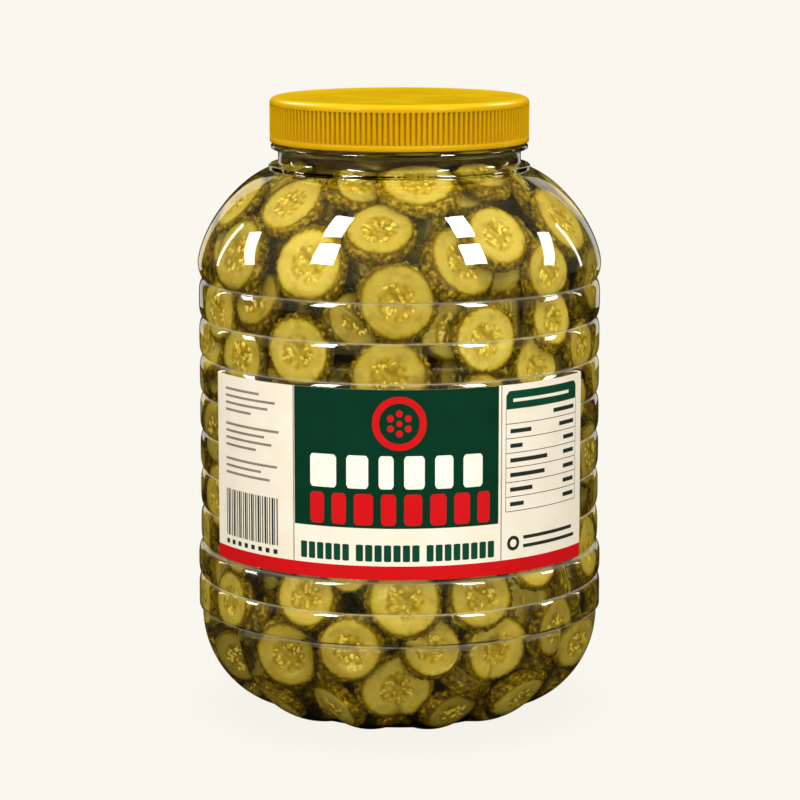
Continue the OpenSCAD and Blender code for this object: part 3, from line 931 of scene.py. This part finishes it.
def makeFloor():
    # plain pale paper, with a painted shadow: a soft dark edge where the jar stands, darkened by ambient
    # occlusion
    material, tree = newMaterial("studioPaper")
    shade = addNode(tree, "AmbientOcclusion", {"Distance": 0.03}, samples=8)
    dim = addNode(tree, "MapRange", {0: shade.outputs["AO"], 1: 0.35, 2: 1.0, 3: 1 - studio["floorShade"],
                                     4: 1.0})
    glow = addNode(tree, "Emission", {"Color": linear(studio["paper"]), "Strength": dim})
    matt = addNode(tree, "BsdfDiffuse", {"Color": linear(studio["matt"])})
    path = addNode(tree, "LightPath")
    finishMaterial(material, addNode(tree, "MixShader", {0: path.outputs["Is Camera Ray"], 1: matt, 2: glow}))
    mesh = bpy.data.meshes.new("studioFloor")
    reach = studio["floorReach"]
    mesh.from_pydata([(-reach, -reach, 0), (reach, -reach, 0), (reach, reach, 0), (-reach, reach, 0)], [],
                     [(0, 1, 2, 3)])
    mesh.materials.append(material)
    floor = bpy.data.objects.new("studioFloor", mesh)
    bpy.context.collection.objects.link(floor)
    floor.visible_glossy = False


def addPanel(name, middle, halfWidth, halfHeight, towards, up, radiance, reach, reflection):
    # a rectangular area light that reaches only the pieces in the reach collection
    lamp = bpy.data.lights.new(name, "AREA")
    lamp.shape = "RECTANGLE"
    lamp.size, lamp.size_y = 2 * halfWidth, 2 * halfHeight
    lamp.energy = radiance * math.pi * lamp.size * lamp.size_y
    lamp.color = linear("#fffdf8")[:3]
    panel = bpy.data.objects.new(name, lamp)
    back = -Vector(towards).normalized()
    side = Vector(up).cross(back).normalized()
    turned = Matrix((side, back.cross(side), back)).transposed().to_4x4()
    panel.matrix_world = Matrix.Translation(middle) @ turned
    panel.visible_diffuse = not reflection
    panel.visible_transmission = False
    panel.light_linking.receiver_collection = reach
    bpy.context.collection.objects.link(panel)


def makeLights():
    # The cards reach only the clear wall and the brine. The lamps reach the
    # slices and the floor, the label or the lid, so that each can be set alone,
    # and the room lights everything.
    pieces = [piece for piece in bpy.data.objects if piece.type == "MESH"]
    clear = bpy.data.collections.new("cardReach")
    for piece in pieces:
        if piece.name in ("jarShell", "brineFill"):
            clear.objects.link(piece)
    for number, (middle, half, towards, up, radiance) in enumerate(studio["cards"]):
        for flip in (1, -1):
            turned = [(flip * v[0], v[1], v[2]) for v in (middle, towards, up)]
            addPanel(f"card{number + 1}", turned[0], *half, turned[1], turned[2], radiance, clear, True)
    for kind, lamps in studio["lamps"].items():
        reach = bpy.data.collections.new(kind + "Reach")
        for piece in pieces:
            if piece.name.startswith(("gherkin", "heap", "studio") if kind == "gherkin" else kind):
                reach.objects.link(piece)
        for turn, away, low, high, width, radiance in lamps:
            bearing = math.radians(turn)
            middle = (away * math.sin(bearing), -away * math.cos(bearing), (low + high) / 2)
            addPanel(kind + "Lamp", middle, width / 2, (high - low) / 2,
                     (-math.sin(bearing), math.cos(bearing), 0), (0, 0, 1), radiance, reach, False)
        if kind == "screw":
            addPanel("overhead", (0, -0.2, 1.2), 0.4, 0.4, (0, 0.2, -1), (0, 1, 0), studio["overhead"],
                     reach, False)
    world = bpy.data.worlds.new("studioRoom")
    world.use_nodes = True
    room = world.node_tree.nodes["Background"]
    room.inputs["Color"].default_value = linear("#fbf7ee")
    room.inputs["Strength"].default_value = studio["fill"]
    world.cycles_visibility.glossy = False
    bpy.context.scene.world = world


camera = dict(distance=1.300, height=0.367, down=10.0, lens=132.75, shift=0.00075)


def makeCamera():
    lens = bpy.data.cameras.new("camera")
    lens.lens, lens.sensor_width, lens.shift_x = camera["lens"], 36, camera["shift"]
    lens.clip_end = 200
    eye = bpy.data.objects.new("camera", lens)
    eye.location = (0, -camera["distance"], camera["height"])
    eye.rotation_euler = (math.radians(90 - camera["down"]), 0, 0)
    bpy.context.collection.objects.link(eye)
    bpy.context.scene.camera = eye


makeFloor()
makeLights()
makeCamera()
print("floor, lights and camera set")
bpy.context.scene.view_settings.view_transform = "Standard"
